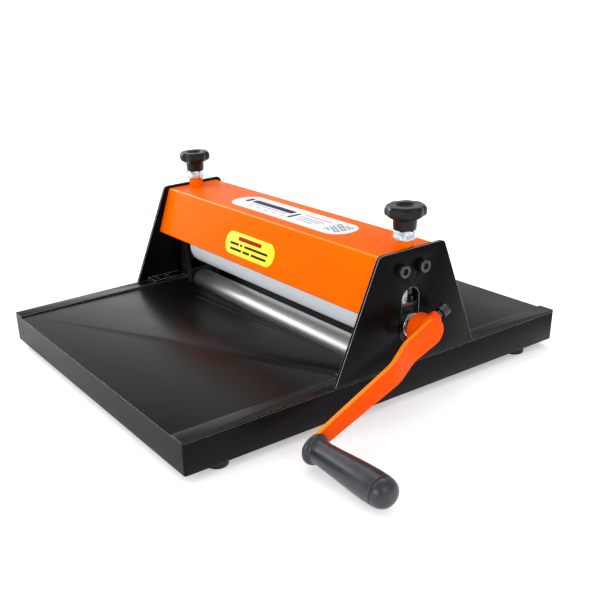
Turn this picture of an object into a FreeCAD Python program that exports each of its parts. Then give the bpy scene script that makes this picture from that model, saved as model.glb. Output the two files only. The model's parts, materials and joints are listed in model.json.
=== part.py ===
import FreeCAD, Part
import math
import os

from FreeCAD import Vector

# Tabletop etching press: folded bed pan, two upright side plates, a fixed steel
# lower roller, a nylon upper roller carried in two sliding blocks, two hand
# screws that set the nip, and a crank on the upper roller's shaft.
# Units are millimetres. The origin is on the plane under the feet, midway
# between the side plates, straight below the rollers' axes. +Z is up, the
# operator stands at -Y, and the crank is on +X.

# ---- overall sizes -----------------------------------------------------------
WIDTH = 400.0          # outer faces of the side plates
BED_FRONT = 260.0      # roller axis to the front edge of the bed
BED_REAR = 222.0       # roller axis to the rear edge
FOOT_H = 9.0
BED_Z = 41.0           # top face of the bed sheet
SHEET = 2.0            # pan and cover sheet
RAIL_W = 19.0
RAIL_H = 2.0
PLATE_T = 3.0          # side plate
PLATE_TOP = 160.5
PLATE_BASE_HALF = 92.0
PLATE_TOP_HALF = 41.5

# ---- rollers -----------------------------------------------------------------
LOWER_R = 17.0
LOWER_Z = 26.5
LOWER_END = WIDTH / 2.0 - 12.0      # half length of the lower roller's barrel
UPPER_R = 25.0
UPPER_Z = 84.3
UPPER_END = WIDTH / 2.0 - 28.5      # half length of the nylon sleeve
JOURNAL_R = 7.5
SHAFT_R = 10.0
SHAFT_END_R = 8.0      # turned-down end that takes the crank
RUN_FIT = 0.05         # radial clearance of shafts in their bushings

# ---- nip adjustment ----------------------------------------------------------
SCREW_X = WIDTH / 2.0 - 11.7
SCREW_R = 6.0          # M12
LIFT = 12.0            # travel of the sliding blocks

# ---- crank -------------------------------------------------------------------
CRANK_R = 165.0
CRANK_ANGLE = 203.6    # degrees from +Y towards +Z, at rest
ARM_T = 5.0
HUB_X0 = WIDTH / 2.0 + 10.7
ARM_X0 = WIDTH / 2.0 + 26.5         # inner face of the arm at the hub
JOGGLE = 9.0          # the arm steps outwards by this much

# ---- derived sizes -----------------------------------------------------------
HALF = WIDTH / 2.0
INNER = HALF - PLATE_T
RAIL_TOP = BED_Z + RAIL_H
COVER_TOP = PLATE_TOP - 3.0
COVER_IN = COVER_TOP - SHEET
PAN_LOW = FOOT_H
UPPER_LOW = UPPER_Z - UPPER_R
EPS = 0.01

X = Vector(1, 0, 0)
Y = Vector(0, 1, 0)
Z = Vector(0, 0, 1)

os.makedirs("parts", exist_ok=True)


def box(x0, x1, y0, y1, z0, z1):
    """Axis-aligned block between two corners."""
    return Part.makeBox(x1 - x0, y1 - y0, z1 - z0, Vector(x0, y0, z0))


def cyl(radius, start, length, axis=Z):
    """Cylinder from a start point along an axis."""
    return Part.makeCylinder(radius, length, Vector(*start), axis)


def cone(r1, r2, start, length, axis=Z):
    """Cone frustum from a start point along an axis."""
    return Part.makeCone(r1, r2, length, Vector(*start), axis)


def prism(points, offset):
    """Straight prism on a closed polygon."""
    wire = Part.makePolygon([Vector(*p) for p in points] + [Vector(*points[0])])
    return Part.Face(wire).extrude(Vector(*offset))


def mirror_x(shape):
    """Copy of a shape on the other side of the press."""
    return shape.mirror(Vector(0, 0, 0), X)


def side(shape, sign):
    """The shape as modelled on +X, or its mirror image on -X."""
    return shape if sign > 0 else mirror_x(shape)


def tidy(shape):
    """Merge split faces and return the plain solid where there is one."""
    shape = shape.removeSplitter()
    solids = shape.Solids
    return solids[0] if len(solids) == 1 else Part.makeCompound(solids)


def fuse(shapes):
    """One solid from touching shapes."""
    first = shapes[0]
    return tidy(first.multiFuse(shapes[1:])) if len(shapes) > 1 else first


def cut(base, tools):
    """Take several shapes out of one."""
    return tidy(base.cut(Part.makeCompound(tools)))


def revolve_x(profile, start_x, y, z):
    """Turn a profile of (distance along X, radius) points about an X axis."""
    points = [Vector(start_x + a, y, z + r) for a, r in profile]
    wire = Part.makePolygon(points + [points[0]])
    return Part.Face(wire).revolve(Vector(0, y, z), X, 360)


def revolve_z(profile, x, y, start_z):
    """Turn a profile of (radius, height) points about a Z axis."""
    points = [Vector(x + r, y, start_z + h) for r, h in profile]
    wire = Part.makePolygon(points + [points[0]])
    return Part.Face(wire).revolve(Vector(x, y, 0), Z, 360)


def hexagon(across_flats, centre, height, axis=Z):
    """Hexagonal prism with chamfered corners, as on a nut or a bolt head."""
    r = across_flats / math.sqrt(3.0)
    pts = [(r * math.cos(math.radians(60 * k)), r * math.sin(math.radians(60 * k)), 0)
           for k in range(6)]
    body = prism(pts, (0, 0, height))
    trim = 0.12 * across_flats
    rim = across_flats / 2.0 + 0.15
    low = revolve_z([(0, 0), (rim, 0), (rim + trim * 1.7, trim), (rim + trim * 1.7, height - trim),
                     (rim, height), (0, height)], 0, 0, 0)
    body = tidy(body.common(low))
    rotation = FreeCAD.Rotation(Z, Vector(*axis))
    body.Placement = FreeCAD.Placement(Vector(*centre), rotation)
    return body


def socket_screw(diameter, length, head_face, axis, head_h=8.0):
    """Cap screw: the head stands on head_face and the shank goes against axis."""
    head_r = 0.8125 * diameter
    socket = hexagon(0.75 * diameter, (0, 0, head_h * 0.5), head_h)
    head = Part.makeCylinder(head_r, head_h)
    head = head.makeChamfer(0.08 * diameter, [head.Edges[0]])
    shank = Part.makeCylinder(diameter / 2.0, length, Vector(0, 0, -length))
    body = fuse([head, shank]).cut(socket)
    body.Placement = FreeCAD.Placement(Vector(*head_face), FreeCAD.Rotation(Z, Vector(*axis)))
    return tidy(body)


def save(name, shape):
    """Check a node's solids and write them to its STEP file."""
    if not shape.isValid():
        raise ValueError(name + " is not valid")
    for solid in shape.Solids:
        if solid.Volume <= 0:
            raise ValueError(name + " has a solid of no volume")
    shape.exportStep("parts/" + name + ".step")
    print("%-24s solids %2d  volume %10.0f" % (name, len(shape.Solids), shape.Volume))


# ---- bed pan -----------------------------------------------------------------
OPEN_HALF_Y = 35.0     # opening in the bed around the lower roller
NOTCH_X = HALF - 19.0        # inner side of the notch that takes the guide bars
NOTCH_HALF_Y = 26.0
FLANGE_IN = 30.0


def make_pan():
    """Folded sheet pan: bed, four aprons, a return flange and the roller opening."""
    outer = box(-HALF, HALF, -BED_FRONT, BED_REAR, PAN_LOW, BED_Z)
    vertical = [e for e in outer.Edges
                if abs(e.Vertexes[0].Z - e.Vertexes[-1].Z) > 1]
    outer = outer.makeFillet(2.5, vertical)
    inner = box(-HALF + SHEET, HALF - SHEET, -BED_FRONT + SHEET, BED_REAR - SHEET,
                PAN_LOW + SHEET, BED_Z - SHEET)
    mouth = box(-HALF + FLANGE_IN, HALF - FLANGE_IN, -BED_FRONT + 18, BED_REAR - 18,
                PAN_LOW - 1, PAN_LOW + SHEET + 1)
    opening = box(-NOTCH_X, NOTCH_X, -OPEN_HALF_Y, OPEN_HALF_Y, BED_Z - SHEET - 1, BED_Z + 1)
    notches = [side(box(NOTCH_X - 1, INNER + 0.2, -NOTCH_HALF_Y, NOTCH_HALF_Y,
                        BED_Z - SHEET - 1, BED_Z + 1), s) for s in (-1, 1)]
    holes = []
    for sx in (-1, 1):
        for y in FLANGE_SCREW_Y:
            holes.append(cyl(3.0, (sx * FLANGE_SCREW_X, y, BED_Z - SHEET - 1), 4))
        for y in FOOT_Y:
            holes.append(cyl(2.5, (sx * FOOT_X, y, PAN_LOW - 1), SHEET + 2))
    relief = [side(box(HALF - FLANGE_IN - 1, INNER - 6.0, -LOWER_R - 1.5, LOWER_R + 1.5,
                       PAN_LOW - 1, PAN_LOW + SHEET + 1), s) for s in (-1, 1)]
    return cut(outer, [inner, mouth, opening] + notches + relief + holes)


FOOT_X = HALF - 15.0
FOOT_Y = (-BED_FRONT + 42.0, BED_REAR - 44.0)
FLANGE_SCREW_X = HALF - 12.0
FLANGE_SCREW_Y = (-68.0, -54.0, 54.0, 68.0)

save("base_pan", make_pan())


def make_rail(sign):
    """Flat edge rail on the bed, notched for the guide bars."""
    rail = box(HALF - RAIL_W, HALF, -BED_FRONT, BED_REAR, BED_Z, RAIL_TOP)
    tools = [box(HALF - RAIL_W - 1, INNER + 0.2, -NOTCH_HALF_Y, NOTCH_HALF_Y,
                 BED_Z - 1, RAIL_TOP + 1)]
    tools += [cyl(3.0, (FLANGE_SCREW_X, y, BED_Z - 1), RAIL_H + 2) for y in FLANGE_SCREW_Y]
    edges = [e for e in rail.Edges if abs(e.Vertexes[0].Z - e.Vertexes[-1].Z) > 1
             and abs(abs(e.Vertexes[0].X) - HALF) < 0.1]
    rail = rail.makeFillet(2.5, edges)
    return side(cut(rail, tools), sign)


save("rail_left", make_rail(-1))
save("rail_right", make_rail(1))

# ---- under the bed -----------------------------------------------------------
members = []
for y0, lip in ((-OPEN_HALF_Y - 8, -1), (OPEN_HALF_Y + 6, 1)):
    web = box(-HALF + SHEET, HALF - SHEET, y0, y0 + SHEET, PAN_LOW + SHEET, BED_Z - SHEET)
    y1, y2 = (y0 - 14, y0 + EPS) if lip < 0 else (y0 + SHEET - EPS, y0 + SHEET + 14)
    foot = box(-HALF + FLANGE_IN + 2, HALF - FLANGE_IN - 2, y1, y2,
               PAN_LOW + SHEET, PAN_LOW + 2 * SHEET)
    members.append(fuse([web, foot]))
save("under_cross_members", Part.makeCompound(members))

# ---- feet --------------------------------------------------------------------
FOOT_R = 12.0
feet = []
foot_screws = []
for sx in (-1, 1):
    for y in FOOT_Y:
        foot = revolve_z([(0, 0), (FOOT_R - 1.5, 0), (FOOT_R, 1.2), (FOOT_R - 1.0, FOOT_H),
                          (0, FOOT_H)], sx * FOOT_X, y, 0)
        well = cyl(5.0, (sx * FOOT_X, y, -1), 5.0)
        hole = cyl(2.5, (sx * FOOT_X, y, -1), FOOT_H + 2)
        feet.append(cut(foot, [well, hole]))
        head = cyl(4.4, (sx * FOOT_X, y, 1.6), 2.4)
        shank = cyl(2.45, (sx * FOOT_X, y, 3.9), FOOT_H + SHEET + 1.5 - 3.9)
        nut = hexagon(8.0, (sx * FOOT_X, y, FOOT_H + SHEET), 3.0)
        foot_screws.append(fuse([head, shank, nut]))
save("feet", Part.makeCompound(feet))
save("foot_screws", Part.makeCompound(foot_screws))

# ---- side plates -------------------------------------------------------------
SLOT_HALF = SHAFT_R + 1.2
SLOT_LOW = 66.0
SLOT_TOP = 121.6
PLATE_SCREW_Y = 13.0
PLATE_SCREW_Z = 141.0
GUIDE_Y0 = 19.0
GUIDE_Y1 = 25.0
GUIDE_X0 = HALF - 18.0
GUIDE_TOP = 125.0


def make_plate():
    """Upright trapezoid with a folded foot, a shaft slot and two screw holes."""
    base, top = PLATE_BASE_HALF, PLATE_TOP_HALF
    pts = [(INNER, -base, RAIL_TOP), (INNER, base, RAIL_TOP), (INNER, top, PLATE_TOP),
           (INNER, -top, PLATE_TOP)]
    plate = prism(pts, (PLATE_T, 0, 0))
    corners = [e for e in plate.Edges if abs(e.Vertexes[0].X - e.Vertexes[-1].X) > 1
               and e.Vertexes[0].Z > PLATE_TOP - 1]
    plate = plate.makeFillet(7.0, corners)
    feet_tabs = [box(HALF - 19.5, INNER + EPS, y0, y1, RAIL_TOP, RAIL_TOP + 3.0)
                 for y0, y1 in ((-76, -30), (30, 76))]
    plate = fuse([plate] + feet_tabs)
    slot = fuse([box(INNER - 1, HALF + 1, -SLOT_HALF, SLOT_HALF,
                     SLOT_LOW + SLOT_HALF, SLOT_TOP - SLOT_HALF),
                 cyl(SLOT_HALF, (INNER - 1, 0, SLOT_LOW + SLOT_HALF), PLATE_T + 2, X),
                 cyl(SLOT_HALF, (INNER - 1, 0, SLOT_TOP - SLOT_HALF), PLATE_T + 2, X)])
    tools = [slot]
    tools += [cyl(4.2, (INNER - 1, s * PLATE_SCREW_Y, PLATE_SCREW_Z), PLATE_T + 2, X)
              for s in (-1, 1)]
    tools += [cyl(3.0, (FLANGE_SCREW_X, y, RAIL_TOP - 1), 5) for y in FLANGE_SCREW_Y]
    return cut(plate, tools)


plate = make_plate()
save("side_plate_right", plate)
save("side_plate_left", mirror_x(plate))

flange_screws = []
for sx in (-1, 1):
    for y in FLANGE_SCREW_Y:
        shank = cyl(2.9, (sx * FLANGE_SCREW_X, y, BED_Z - SHEET - 4), SHEET + RAIL_H + 6.9)
        head = hexagon(10.0, (sx * FLANGE_SCREW_X, y, BED_Z - SHEET - 5), 5)
        flange_screws.append(fuse([shank, head]))
save("flange_screws", Part.makeCompound(flange_screws))

plate_screws = []
for sx in (-1, 1):
    for sy in (-1, 1):
        face = (sx * HALF, sy * PLATE_SCREW_Y, PLATE_SCREW_Z)
        plate_screws.append(socket_screw(8.0, 20.0, face, (sx, 0, 0), head_h=5.5))
save("plate_screws", Part.makeCompound(plate_screws))

# ---- guide bars and lower bearings -------------------------------------------
for name, sx in (("guide_bars_left", -1), ("guide_bars_right", 1)):
    bars = []
    for sy in (-1, 1):
        y0, y1 = sorted((sy * GUIDE_Y0, sy * GUIDE_Y1))
        bars.append(side(box(GUIDE_X0, INNER, y0, y1, PAN_LOW + SHEET, GUIDE_TOP), sx))
    save(name, Part.makeCompound(bars))

LOWER_BLOCK_X0 = HALF - 11.0
BUSH_T = 2.5


def make_lower_block():
    """Bearing block of the lower roller, held between the guide bars."""
    block = box(LOWER_BLOCK_X0, INNER, -GUIDE_Y0, GUIDE_Y0, PAN_LOW + SHEET, 47.0)
    bore = cyl(JOURNAL_R + BUSH_T, (LOWER_BLOCK_X0 - 1, 0, LOWER_Z), 10, X)
    return cut(block, [bore])


lower_block = make_lower_block()
save("lower_bearing_right", lower_block)
save("lower_bearing_left", mirror_x(lower_block))
bush = cut(cyl(JOURNAL_R + BUSH_T, (LOWER_BLOCK_X0, 0, LOWER_Z), INNER - LOWER_BLOCK_X0, X),
           [cyl(JOURNAL_R + RUN_FIT, (LOWER_BLOCK_X0 - 1, 0, LOWER_Z), 10, X)])
save("lower_bushings", Part.makeCompound([bush, mirror_x(bush)]))

# ---- lower roller ------------------------------------------------------------
barrel = revolve_x([(0, 0), (0, LOWER_R - 0.8), (0.8, LOWER_R), (2 * LOWER_END - 0.8, LOWER_R),
                    (2 * LOWER_END, LOWER_R - 0.8), (2 * LOWER_END, 0)], -LOWER_END, 0, LOWER_Z)
bore = cyl(LOWER_R - 4.0, (-LOWER_END + 20, 0, LOWER_Z), 2 * LOWER_END - 40, X)
save("lower_roller", cut(barrel, [bore] + [
    side(cyl(JOURNAL_R, (LOWER_END - 21, 0, LOWER_Z), 22, X), s) for s in (-1, 1)]))
journals = [side(cyl(JOURNAL_R, (LOWER_END - 20, 0, LOWER_Z), 27.5, X), s) for s in (-1, 1)]
save("lower_roller_journals", Part.makeCompound(journals))

# ---- beam under the cover ----------------------------------------------------
BEAM_Z0 = 127.0
BEAM_HALF_Y = 21.0
beam = box(-INNER, INNER, -BEAM_HALF_Y, BEAM_HALF_Y, BEAM_Z0, COVER_IN)
hollow = box(-INNER - 1, INNER + 1, -BEAM_HALF_Y + 3, BEAM_HALF_Y - 3, BEAM_Z0 + 3, COVER_IN - 3)
screw_bores = [cyl(SCREW_R + 0.5, (s * SCREW_X, 0, BEAM_Z0 - 1), 40) for s in (-1, 1)]
save("head_beam", cut(beam, [hollow] + screw_bores))
block = box(HALF - 22.0, INNER, -BEAM_HALF_Y + 3, BEAM_HALF_Y - 3, BEAM_Z0 + 3, COVER_IN - 3)
tools = [cyl(SCREW_R + RUN_FIT, (SCREW_X, 0, BEAM_Z0), 40)]
tools += [cyl(4.0, (INNER - 17.5, s * PLATE_SCREW_Y, PLATE_SCREW_Z), 20, X) for s in (-1, 1)]
block = cut(block, tools)
save("beam_end_blocks", Part.makeCompound([block, mirror_x(block)]))

# ---- cover -------------------------------------------------------------------
COVER_X = INNER - 0.3
COVER_TOP_HALF = 35.5
COVER_LOW_HALF = 55.0
COVER_LOW = 103.0
COVER_LIP = 7.0


def cover_outline(inset):
    """Closed section of the cover, offset inwards by inset, for the sheet."""
    slope = math.atan2(COVER_LOW_HALF - COVER_TOP_HALF, COVER_TOP - COVER_LOW)
    dy = inset / math.cos(slope)
    shift = inset * math.tan(slope)
    top = COVER_TOP - inset
    low = COVER_LOW + inset
    top_half = COVER_TOP_HALF + shift - dy
    low_half = COVER_LOW_HALF - shift - dy
    return top_half, low_half, top, low


def make_cover():
    """Folded hood: top, two sloping faces and a small return lip at each foot."""
    top_half, low_half, top, low = cover_outline(0.0)
    pts = [(-COVER_X, -low_half, low), (-COVER_X, -top_half, top), (-COVER_X, top_half, top),
           (-COVER_X, low_half, low)]
    body = prism(pts, (2 * COVER_X, 0, 0))
    folds = [e for e in body.Edges if abs(e.Vertexes[0].X - e.Vertexes[-1].X) > 1]
    body = body.makeFillet(2.5, folds)
    in_top, in_low, z_top, z_low = cover_outline(SHEET)
    pts = [(-COVER_X - 1, -in_low, z_low), (-COVER_X - 1, -in_top, z_top),
           (-COVER_X - 1, in_top, z_top), (-COVER_X - 1, in_low, z_low)]
    inner = prism(pts, (2 * COVER_X + 2, 0, 0))
    mouth = box(-COVER_X - 1, COVER_X + 1, -low_half + COVER_LIP, low_half - COVER_LIP,
                COVER_LOW - 1, COVER_LOW + SHEET + 1)
    holes = [cyl(SCREW_R + 0.5, (s * SCREW_X, 0, COVER_IN - 1), 6) for s in (-1, 1)]
    return cut(body, [inner, mouth] + holes)


save("cover", make_cover())
BOSS_R = 8.6
BOSS_H = 9.0
boss = cut(cyl(BOSS_R, (SCREW_X, 0, COVER_TOP), BOSS_H),
           [cyl(SCREW_R + 0.3, (SCREW_X, 0, COVER_TOP - 1), BOSS_H + 2)])
save("cover_bosses", Part.makeCompound([boss, mirror_x(boss)]))

# ---- hand screws -------------------------------------------------------------
BOSS_TOP = COVER_TOP + BOSS_H
NUT_H = 10.0
NECK_H = 11.0
HEAD_H = 12.0
HEAD_R = 19.6
SLIDE_TOP = UPPER_Z + 21.0
SCREW_END_R = 4.0      # turned-down foot of the hand screw
SCREW_COLLAR_R = 5.8
POCKET_R = 6.2
POCKET_Z = SLIDE_TOP - 8.0
RETAINER_H = 3.0
NUT_TOP = BOSS_TOP + 0.2 + NUT_H
NECK_TOP = NUT_TOP + NECK_H


def make_knob():
    """Eight-lobed hand knob with a dished top and a round neck."""
    neck = cone(10.8, 11.6, (SCREW_X, 0, NUT_TOP), NECK_H)
    head = revolve_z([(0, 0), (15.0, 0), (HEAD_R, 3.0), (HEAD_R, 9.0), (HEAD_R - 2.6, HEAD_H),
                      (11.0, HEAD_H), (8.0, HEAD_H - 2.4), (0, HEAD_H - 3.0)],
                     SCREW_X, 0, NECK_TOP)
    scallops = []
    for k in range(8):
        a = math.radians(45 * k + 22.5)
        r = HEAD_R + 6.4
        scallops.append(cyl(8.0, (SCREW_X + r * math.cos(a), r * math.sin(a), NECK_TOP - 1), 16))
    head = cut(head, scallops)
    return cut(fuse([neck, head]), [cyl(SCREW_R, (SCREW_X, 0, NUT_TOP - 1), 15.0)])


def make_screw():
    """M12 screw with a collar at its foot, which the sliding block holds captive."""
    shank = cyl(SCREW_R, (SCREW_X, 0, SLIDE_TOP), NUT_TOP + 14.0 - SLIDE_TOP)
    neck = cyl(SCREW_END_R, (SCREW_X, 0, POCKET_Z + 0.3), SLIDE_TOP - POCKET_Z)
    collar = cyl(SCREW_COLLAR_R, (SCREW_X, 0, POCKET_Z + 0.3), 4.4)
    return fuse([collar, neck, shank])


def make_lock_nut():
    """Hexagonal lock nut under the knob."""
    nut = hexagon(19.0, (SCREW_X, 0, BOSS_TOP + 0.2), NUT_H)
    return cut(nut, [cyl(SCREW_R, (SCREW_X, 0, BOSS_TOP - 1), NUT_H + 3)])


for name, sx in (("left", -1), ("right", 1)):
    save("knob_" + name, side(make_knob(), sx))
    save("pressure_screw_" + name, side(make_screw(), sx))
    save("lock_nut_" + name, side(make_lock_nut(), sx))

# ---- sliding blocks ----------------------------------------------------------
SLIDE_X0 = HALF - 19.5
SLIDE_X1 = INNER - 0.3
SLIDE_HALF_Y = GUIDE_Y0 - 0.2
slide = box(SLIDE_X0, SLIDE_X1, -SLIDE_HALF_Y, SLIDE_HALF_Y, UPPER_Z - 20.0,
            SLIDE_TOP - RETAINER_H)
slide = cut(slide, [cyl(SHAFT_R + BUSH_T, (SLIDE_X0 - 1, 0, UPPER_Z), 20, X),
                    cyl(POCKET_R, (SCREW_X, 0, POCKET_Z), 10)])
bush = cut(cyl(SHAFT_R + BUSH_T, (SLIDE_X0, 0, UPPER_Z), SLIDE_X1 - SLIDE_X0, X),
           [cyl(SHAFT_R + RUN_FIT, (SLIDE_X0 - 1, 0, UPPER_Z), 20, X),
            cyl(POCKET_R, (SCREW_X, 0, POCKET_Z), 10)])
save("upper_bushings", Part.makeCompound([bush, mirror_x(bush)]))
cap = box(SLIDE_X0, SLIDE_X1, -SLIDE_HALF_Y, SLIDE_HALF_Y, SLIDE_TOP - RETAINER_H, SLIDE_TOP)
CAP_SCREW_Y = 13.0
cap = cut(cap, [cyl(SCREW_END_R + RUN_FIT, (SCREW_X, 0, SLIDE_TOP - 4), 6)]
          + [cyl(1.5, (SCREW_X, s * CAP_SCREW_Y, SLIDE_TOP - 4), 6) for s in (-1, 1)])
save("retainer_plates", Part.makeCompound([cap, mirror_x(cap)]))
slide_tools = [cyl(1.5, (SCREW_X, s * CAP_SCREW_Y, SLIDE_TOP - RETAINER_H - 7), 8)
               for s in (-1, 1)]
slide = cut(slide, slide_tools)
save("slide_block_right", slide)
save("slide_block_left", mirror_x(slide))
cap_screws = [fuse([cyl(2.8, (SCREW_X, s * CAP_SCREW_Y, SLIDE_TOP), 2.4),
                    cyl(1.5, (SCREW_X, s * CAP_SCREW_Y, SLIDE_TOP - RETAINER_H - 7),
                        RETAINER_H + 7.1)]) for s in (-1, 1)]
save("retainer_screws", Part.makeCompound(cap_screws + [mirror_x(c) for c in cap_screws]))

print("nip %.1f" % (UPPER_LOW - LOWER_Z - LOWER_R))

# ---- upper roller and shaft --------------------------------------------------
sleeve = cut(revolve_x([(0, 0), (0, UPPER_R - 1.0), (1.0, UPPER_R), (2 * UPPER_END - 1.0, UPPER_R),
                        (2 * UPPER_END, UPPER_R - 1.0), (2 * UPPER_END, 0)],
                       -UPPER_END, 0, UPPER_Z),
             [cyl(SHAFT_R, (-UPPER_END - 1, 0, UPPER_Z), 2 * UPPER_END + 2, X)])
save("upper_roller_sleeve", sleeve)
SHAFT_LEFT = -HALF - 4.5
RING_X = -HALF - 2.8
shaft = fuse([cyl(SHAFT_R, (SHAFT_LEFT, 0, UPPER_Z), HALF + 0.8 - SHAFT_LEFT, X),
              cyl(SHAFT_END_R, (HALF + 0.8 - EPS, 0, UPPER_Z), ARM_X0 - HALF - 1.8, X)])
groove = cut(cyl(SHAFT_R + 1, (RING_X, 0, UPPER_Z), 1.2, X),
             [cyl(SHAFT_R - 0.8, (RING_X - 1, 0, UPPER_Z), 3, X)])
save("upper_shaft", cut(shaft, [groove]))
COLLAR_L = HUB_X0 - HALF - 0.8
COLLAR_R = SHAFT_R + 2.2
collar = cut(revolve_x([(0, 0), (0, COLLAR_R - 0.6), (0.6, COLLAR_R), (3.6, COLLAR_R),
                        (4.3, COLLAR_R - 1.2), (5.6, COLLAR_R - 1.2), (6.3, COLLAR_R),
                        (COLLAR_L - 0.6, COLLAR_R), (COLLAR_L, COLLAR_R - 0.6), (COLLAR_L, 0)],
                       HALF + 0.8, 0, UPPER_Z),
             [cyl(SHAFT_END_R, (HALF, 0, UPPER_Z), COLLAR_L + 2, X)])
save("shaft_collar", collar)
ring = cut(cyl(SHAFT_R + 4.0, (RING_X, 0, UPPER_Z), 1.2, X),
           [cyl(SHAFT_R - 0.8, (RING_X - 1, 0, UPPER_Z), 3, X),
            box(RING_X - 1, RING_X + 3, -2.5, 2.5, UPPER_Z - 15, UPPER_Z)])
save("shaft_retaining_ring", ring)

# ---- crank -------------------------------------------------------------------
HUB_R = 15.2
ARM_HALF = 13.6
ARM_TIP_HALF = 7.7
crank_turn = FreeCAD.Rotation(X, CRANK_ANGLE)
crank_place = FreeCAD.Placement(Vector(0, 0, UPPER_Z), crank_turn)


def on_crank(shape):
    """Move a shape modelled with the arm along +Y to the crank's rest angle."""
    shape = shape.copy()
    shape.Placement = crank_place.multiply(shape.Placement)
    return shape


BOLT_X = HUB_X0 + 5.6
hub = cut(cyl(HUB_R, (HUB_X0, 0, 0), ARM_X0 - HUB_X0, X),
          [cyl(SHAFT_END_R, (HUB_X0 - 1, 0, 0), ARM_X0 - HUB_X0 + 2, X),
           cyl(4.0, (BOLT_X, -5, 0), 20, Vector(0, -1, 0))])
save("crank_hub", on_crank(hub))


BOSS_L = 7.0           # nut welded on the hub for the clamp bolt
BOLT_HEAD = 26.0       # from the hub's axis to the underside of the bolt's head


def make_arm():
    """Flat bar with a rounded hub end, an outward joggle and a tapering shank."""
    x0, x1 = ARM_X0, ARM_X0 + ARM_T
    bend0, bend1 = 31.0, 58.0
    side_view = [(x0, -30, 0), (x0, bend0, 0), (x0 + JOGGLE, bend1, 0), (x0 + JOGGLE, 200, 0),
                 (x1 + JOGGLE, 200, 0), (x1 + JOGGLE, bend1 - 2.0, 0), (x1, bend0 - 2.0, 0),
                 (x1, -30, 0)]
    strip = prism([(x, y, -40) for x, y, _ in side_view], (0, 0, 80))
    folds = [e for e in strip.Edges if abs(e.Vertexes[0].Z - e.Vertexes[-1].Z) > 1
             and bend0 - 5 < e.Vertexes[0].Y < bend1 + 5]
    strip = strip.makeFillet(9.0, folds)
    outline = prism([(0, 0, -ARM_HALF), (0, CRANK_R, -ARM_TIP_HALF),
                     (0, CRANK_R, ARM_TIP_HALF), (0, 0, ARM_HALF)], (WIDTH, 0, 0))
    outline = fuse([outline, cyl(ARM_HALF, (0, 0, 0), WIDTH, X),
                    cyl(ARM_TIP_HALF, (0, CRANK_R, 0), WIDTH, X)])
    bar = tidy(strip.common(outline))
    return cut(bar, [cyl(5.0, (HALF, CRANK_R, 0), 100, X)])


save("crank_arm", on_crank(make_arm()))
weld_nut = cut(hexagon(11.5, (BOLT_X, -HUB_R + 1.0, 0), BOSS_L, (0, -1, 0)),
               [cyl(4.0, (BOLT_X, -5, 0), 30, Vector(0, -1, 0)),
                cyl(HUB_R, (HUB_X0, 0, 0), ARM_X0 - HUB_X0, X)])
save("crank_boss", on_crank(weld_nut))
bolt = socket_screw(8.0, BOLT_HEAD - SHAFT_END_R - 0.4, (BOLT_X, -BOLT_HEAD, 0), (0, -1, 0))
save("crank_clamp_bolt", on_crank(bolt))

# ---- grip --------------------------------------------------------------------
GRIP_X0 = ARM_X0 + ARM_T + JOGGLE
SPINDLE_R = 5.0
GRIP_START = GRIP_X0 + 0.3
GRIP_L = 99.0
GRIP_SEAM = 87.0       # where the domed end cap begins
spindle = cyl(SPINDLE_R, (ARM_X0 + JOGGLE, CRANK_R, 0), ARM_T + GRIP_SEAM - 1.2, X)
save("grip_spindle", on_crank(spindle))

grip_profile = [(0, 0), (0, 11.5), (1.2, 14.2), (3.4, 15.0), (5.6, 14.2), (8.0, 11.8),
                (13.0, 11.4), (27.0, 12.0), (44.0, 13.1), (62.0, 14.3), (76.0, 14.7),
                (GRIP_SEAM, 14.3), (GRIP_SEAM, 0)]
cap_profile = [(GRIP_SEAM + 0.3, 0), (GRIP_SEAM + 0.3, 14.0), (90.0, 13.7), (93.5, 12.3),
               (96.6, 9.4), (98.4, 5.6), (GRIP_L, 0)]
bore = cyl(SPINDLE_R + RUN_FIT, (GRIP_START - 1, CRANK_R, 0), GRIP_SEAM + 0.2, X)
grip = cut(revolve_x(grip_profile, GRIP_START, CRANK_R, 0), [bore])
save("grip", on_crank(grip))
plug = fuse([revolve_x(cap_profile, GRIP_START, CRANK_R, 0),
             cyl(9.0, (GRIP_START + GRIP_SEAM, CRANK_R, 0), 0.4, X)])
save("grip_end_cap", on_crank(plug))

# ---- labels ------------------------------------------------------------------


def rounded_plate(width, height, radius, thickness):
    """Thin plate with rounded corners, centred on the origin in the XY plane."""
    plate = box(-width / 2, width / 2, -height / 2, height / 2, 0, thickness)
    edges = [e for e in plate.Edges if abs(e.Vertexes[0].Z - e.Vertexes[-1].Z) > thickness / 2]
    return plate.makeFillet(radius, edges)


slope = math.degrees(math.atan2(COVER_LOW_HALF - COVER_TOP_HALF, COVER_TOP - COVER_LOW))
mid = 0.613            # how far down the slope the label's centre lies
face_y = -(COVER_TOP_HALF * (1 - mid) + COVER_LOW_HALF * mid)
face_z = COVER_TOP * (1 - mid) + COVER_LOW * mid
label = rounded_plate(93.0, 25.5, 12.0, 0.3)
label.Placement = FreeCAD.Placement(Vector(-2.0, face_y, face_z),
                                    FreeCAD.Rotation(X, 90.0 - slope))
save("label_front", label)
label = rounded_plate(201.0, 41.0, 19.0, 0.3)
label.Placement = FreeCAD.Placement(Vector(14.0, -1.0, COVER_TOP), FreeCAD.Rotation())
save("label_top", label)
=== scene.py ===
"""Looks of a tabletop etching press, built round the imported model.

Every length in the classes below is in millimetres, in the press's own frame: the
origin lies on the plane under the feet, midway between the side plates and straight
below the rollers' axes, with the operator at -Y, the crank on +X and +Z up.
"""

from __future__ import annotations

import json
import logging
import math
from collections.abc import Callable
from dataclasses import dataclass, field
from enum import Enum

import bmesh
import bpy
import numpy as np
from mathutils import Matrix, Vector

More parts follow.
